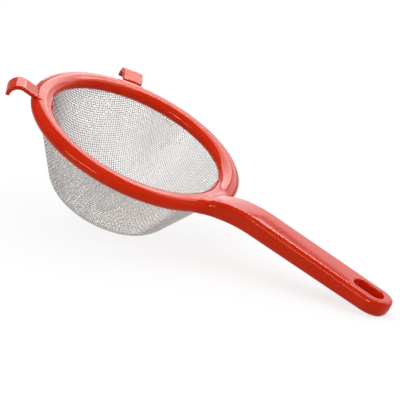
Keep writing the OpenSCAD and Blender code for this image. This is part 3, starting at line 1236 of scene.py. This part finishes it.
@dataclass
class WovenBasket:
    """The basket: plain-woven wire pressed into a bowl, its edge held in the ring's groove."""

    bowl: BowlShape
    rest: RestPose
    finish: DrawnWire = field(default_factory=DrawnWire)
    pitch: float = 1.5
    wire_d: float = 0.45
    weave_deg: float = -23.0
    top_z: float = -3.2
    sides: int = 6
    seed: int = 7
    spare_wires: int = 3
    passes: int = 8
    steady: float = 1e-6

    def net(self) -> Points:
        """Crossings of the weave on the middle surface, an even pitch apart along both families of wires.

        Two wires run along meridians at right angles. Each further crossing lies one pitch from its two
        neighbours and on the bowl, found with Newton's method along one diagonal of the net at a time.
        One quarter is worked out and mirrored.

        Returns:
            Points as warp number, weft number and coordinates, with the middle crossing at the centre.
        """
        wall = (self.top_z - self.bowl.meridian(np.array([0.0]))[0, 1]) / math.cos(self.bowl.lean)
        count = int((self.bowl.flat_r + self.bowl.bend_r + wall) / self.pitch) + self.spare_wires
        quarter = np.zeros((count, count, 3))
        line = self.bowl.meridian(np.arange(count) * self.pitch)
        quarter[:, 0, [0, 2]] = line
        quarter[0, :, 1:] = line
        for diagonal in range(2, 2 * count - 1):
            i = np.arange(max(1, diagonal - count + 1), min(count, diagonal))
            j = diagonal - i
            a, b = quarter[i - 1, j], quarter[i, j - 1]
            quarter[i, j] = self.next_crossing(a, b, a + b - quarter[i - 1, j - 1])
        full = np.concatenate([quarter[:0:-1] * [-1, 1, 1], quarter])
        full = np.concatenate([full[:, :0:-1] * [1, -1, 1], full], axis=1)
        return full @ turn_z(-math.radians(self.weave_deg))

    def next_crossing(self, a: Points, b: Points, guess: Points) -> Points:
        """Points of the bowl one pitch from both neighbours.

        Args:
            a: First neighbours.
            b: Second neighbours.
            guess: Fourth corners of the flat parallelograms.

        Returns:
            The crossings.
        """
        point = guess
        for _ in range(self.passes):
            off, normal = self.bowl.height_above(point)
            gap = np.stack([
                ((point - a) ** 2).sum(axis=1) - self.pitch**2,
                ((point - b) ** 2).sum(axis=1) - self.pitch**2,
                2 * self.pitch * off,
            ], axis=1)
            slope = np.stack([2 * (point - a), 2 * (point - b), 2 * self.pitch * normal], axis=1)
            slope = slope + np.eye(3) * self.steady
            step = np.linalg.solve(slope, gap[:, :, None])[:, :, 0]
            point = point - np.clip(step, -self.pitch / 2, self.pitch / 2)
        return point

    def runs(self, net: Points, family: WireRun) -> tuple[Points, Points]:
        """Wires' middle lines with their crimp, two points for each pitch.

        At each crossing a wire stands off the middle surface by half its thickness, on the other side at
        the next crossing, and between crossings it lies on the middle surface.

        Args:
            net: Crossings of the weave.
            family: Which family of wires.

        Returns:
            Points and outward normals as wire number, place along the wire and coordinates.
        """
        rows = net if family is WireRun.WARP else net.transpose(1, 0, 2)
        wires, count = rows.shape[:2]
        normal = self.bowl.height_above(rows.reshape(-1, 3))[1].reshape(rows.shape)
        turns = (-1.0) ** np.add.outer(np.arange(wires), np.arange(count)) * family.value
        at = rows + normal * turns[..., None] * self.wire_d / 2
        points = np.empty((wires, 2 * count - 1, 3))
        normals = np.empty_like(points)
        points[:, ::2] = at
        normals[:, ::2] = normal
        points[:, 1::2] = (rows[:, 1:] + rows[:, :-1]) / 2
        normals[:, 1::2] = unit(normal[:, 1:] + normal[:, :-1])
        return points, normals

    def tubes(self, points: Points, normals: Points, tone: Points) -> tuple[Skin, Points]:
        """Wires as six-sided tubes, ended in the ring's groove and closed there.

        Args:
            points: Middle lines of the wires.
            normals: Outward normals along them.
            tone: One tone for each wire.

        Returns:
            The tubes' skin, and the tone of each of its points.
        """
        low = points[..., 2] <= self.top_z
        before = np.zeros_like(low)
        before[:, 1:] = low[:, :-1] & ~low[:, 1:]
        after = np.zeros_like(low)
        after[:, :-1] = low[:, 1:] & ~low[:, :-1]
        inner = np.where(before[..., None], np.roll(points, 1, axis=1), np.roll(points, -1, axis=1))
        rise = points[..., 2] - inner[..., 2]
        share = (self.top_z - inner[..., 2]) / np.where(np.abs(rise) < LEVEL_RISE, 1.0, rise)
        ends = before | after
        line = np.where(ends[..., None], inner + (points - inner) * share[..., None], points)
        kept = low | ends
        along = unit(np.gradient(points, axis=1))
        across = unit(np.cross(along, normals))
        out = np.cross(across, along)
        side = np.arange(self.sides)
        t = side * 2 * math.pi / self.sides
        rings = np.cos(t)[:, None] * out[..., None, :] + np.sin(t)[:, None] * across[..., None, :]
        skin = line[..., None, :] + rings * self.wire_d / 2
        number = np.cumsum(kept.ravel()).reshape(kept.shape) - 1
        joined = kept[:, :-1] & kept[:, 1:] & (low[:, :-1] | low[:, 1:])
        first = number[:, :-1][joined][:, None] * self.sides
        base = first + side
        turned = first + (side + 1) % self.sides
        quads = np.stack([base, turned, turned + self.sides, base + self.sides], axis=-1).reshape(-1, 4)
        opening = number[after][:, None] * self.sides + side[::-1]
        closing = number[before][:, None] * self.sides + side
        tones = np.repeat(np.broadcast_to(tone[:, None], kept.shape)[kept], self.sides)
        return Skin(skin[kept].reshape(-1, 3), [quads, opening, closing]), tones

    def dress(self) -> None:
        """Builds the wires, half a family to a piece, and gives them their finish."""
        steel = self.finish.material()
        net = self.net()
        luck = np.random.default_rng(self.seed)
        for family in WireRun:
            points, normals = self.runs(net, family)
            tone = luck.uniform(0.0, 1.0, len(points))
            for half, name in enumerate(("even", "odd")):
                skin, tones = self.tubes(points[half::2], normals[half::2], tone[half::2])
                piece = skin.to_object(f"mesh_{family.name.lower()}_{name}", self.rest)
                layer = piece.data.attributes.new(TONE, "FLOAT", "POINT")
                layer.data.foreach_set("value", tones.astype(np.float32))
                dress_piece(piece, steel)
        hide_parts("mesh_basket")


@dataclass(frozen=True)
class Softbox:
    """A soft rectangular lamp that gloss reflects: its place, facing, size and how bright it looks."""

    name: str
    at: tuple[float, float, float]
    facing: tuple[float, float, float]
    size: tuple[float, float]
    level: float

    def hang(self) -> None:
        """Adds the lamp, seen in reflections only. Its power is its level times its area times pi."""
        lamp = bpy.data.lights.new(self.name, "AREA")
        lamp.shape = "RECTANGLE"
        lamp.size, lamp.size_y = self.size
        lamp.energy = self.level * math.pi * self.size[0] * self.size[1]
        box = bpy.data.objects.new(self.name, lamp)
        box.location = self.at
        box.rotation_euler = Vector(self.facing).to_track_quat("-Z", "Y").to_euler()
        box.visible_camera = False
        box.visible_diffuse = False
        bpy.context.scene.collection.objects.link(box)


BOXES = (
    Softbox("back_panel", (-0.4, 1.35, 0.58), (0.0, -1.0, 0.0), (2.6, 0.50), 1.7),
    Softbox("top_box", (-0.11, 0.46, 0.50), (0.0, 0.0, -1.0), (0.78, 0.52), 5.2),
    Softbox("front_box_low", (0.23, -1.12, 0.67), (-0.2, 0.9, -0.5), (0.44, 0.26), 34.0),
    Softbox("front_box_high", (-0.17, -0.94, 0.50), (0.30, 0.90, -0.46), (0.25, 0.54), 7.5),
    Softbox("hook_box", (0.017, 0.307, 0.455), (-0.17, -0.57, -0.81), (0.15, 0.15), 9.0),
)


@dataclass
class Studio:
    """White floor, plain soft light and the camera at the photograph's angle."""

    azimuth_deg: float = 34.150
    elevation_deg: float = 14.587
    roll_deg: float = -7.558
    target: tuple[float, float, float] = (0.046364, -0.006311, 0.034931)
    distance: float = 0.833505
    lens: float = 126.0
    sky_low: float = 0.40
    sky_high: float = 1.0
    room: float = 0.16
    wall: float = 0.8
    wall_y: Span = (0.15, 0.7)
    wall_z: Span = (0.85, 0.5)
    sensor: float = 36.0
    near_clip: float = 0.01
    floor_half: float = 4.0
    floor_cols: int = 9
    boxes: tuple[Softbox, ...] = BOXES
    paper: StudioPaper = field(default_factory=StudioPaper)

    def place_camera(self) -> None:
        """Sets the camera: level first, then rolled about its own axis."""
        az, el = math.radians(self.azimuth_deg), math.radians(self.elevation_deg)
        roll = math.radians(self.roll_deg)
        back = Vector((math.sin(az) * math.cos(el), -math.cos(az) * math.cos(el), math.sin(el)))
        level = (-back).cross(Vector((0.0, 0.0, 1.0))).normalized()
        upright = level.cross(-back)
        up = upright * math.cos(roll) + level * math.sin(roll)
        right = (-back).cross(up)
        lens = bpy.data.cameras.new("photo_camera")
        lens.lens = self.lens
        lens.sensor_width = self.sensor
        lens.clip_start = self.near_clip
        camera = bpy.data.objects.new("photo_camera", lens)
        turn = Matrix((right, up, back)).transposed().to_4x4()
        camera.matrix_world = Matrix.Translation(Vector(self.target) + back * self.distance) @ turn
        bpy.context.scene.collection.objects.link(camera)
        bpy.context.scene.camera = camera

    def light_world(self) -> None:
        """World: a plain sky, which is white for the camera, and in reflections a wall and a dim room.

        The sky brightens evenly from the horizon to the zenith. The wall is a smooth step in the
        direction's y, which fades out towards the zenith.
        """
        world = bpy.data.worlds.new("studio_sky")
        world.use_nodes = True
        bpy.context.scene.world = world
        sheet = NodeSheet(world.node_tree)
        place = sheet.add("ShaderNodeTexCoord").outputs["Generated"]
        towards = sheet.add("ShaderNodeSeparateXYZ", {0: place}).outputs
        behind = sheet.span(towards["Y"], of=self.wall_y, ease="SMOOTHSTEP")
        low = sheet.span(towards["Z"], of=self.wall_z, ease="SMOOTHSTEP")
        path = sheet.add("ShaderNodeLightPath").outputs
        level = sheet.add("ShaderNodeMix", {
            "Factor": path["Is Glossy Ray"],
            "A": sheet.span(towards["Z"], (self.sky_low, self.sky_high)),
            "B": sheet.span(sheet.calc("MULTIPLY", behind, low), (self.room, self.wall)),
        })
        level = sheet.add("ShaderNodeMix", {
            "Factor": sheet.calc("MAXIMUM", path["Is Camera Ray"], path["Is Transmission Ray"]),
            "A": level.outputs["Result"],
            "B": 1.0,
        })
        sky = sheet.add("ShaderNodeBackground", {"Color": WHITE, "Strength": level.outputs["Result"]})
        sheet.add("ShaderNodeOutputWorld", {"Surface": sky.outputs["Background"]})

    def lay_floor(self) -> None:
        """Floor: a wide flat sheet of white paper at the table's height."""
        side = np.linspace(-self.floor_half, self.floor_half, self.floor_cols)
        x, y = np.meshgrid(side, side, indexing="ij")
        points = np.stack([x, y, np.zeros_like(x)], axis=-1).reshape(-1, 3)
        mesh = bpy.data.meshes.new("paper_floor")
        mesh.from_pydata(points.tolist(), [], grid_faces(len(side), len(side), False, False).tolist())
        mesh.materials.append(self.paper.material())
        floor = bpy.data.objects.new("paper_floor", mesh)
        bpy.context.scene.collection.objects.link(floor)

    def set_up(self) -> None:
        """Builds floor, light and camera, and the plain view transform."""
        bpy.context.scene.view_settings.view_transform = "Standard"
        self.lay_floor()
        self.light_world()
        for box in self.boxes:
            box.hang()
        self.place_camera()
        LOG.info("studio: floor, sky, %d soft lamps and camera", len(self.boxes))


def main() -> None:
    """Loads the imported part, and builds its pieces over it."""
    logging.basicConfig(level=logging.INFO, format="%(name)s: %(message)s")
    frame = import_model()
    rim = RimShape()
    handle = HandleShape(rim)
    bowl = BowlShape()
    rest = RestPose(bowl, handle)
    Studio().set_up()
    MouldedFrame(rim, handle, HookShape(rim), rest).dress(frame["nodes"])
    WovenBasket(bowl, rest).dress()
    bpy.context.view_layer.update()
    LOG.info("boxes written")


if __name__ == "__main__":
    main()
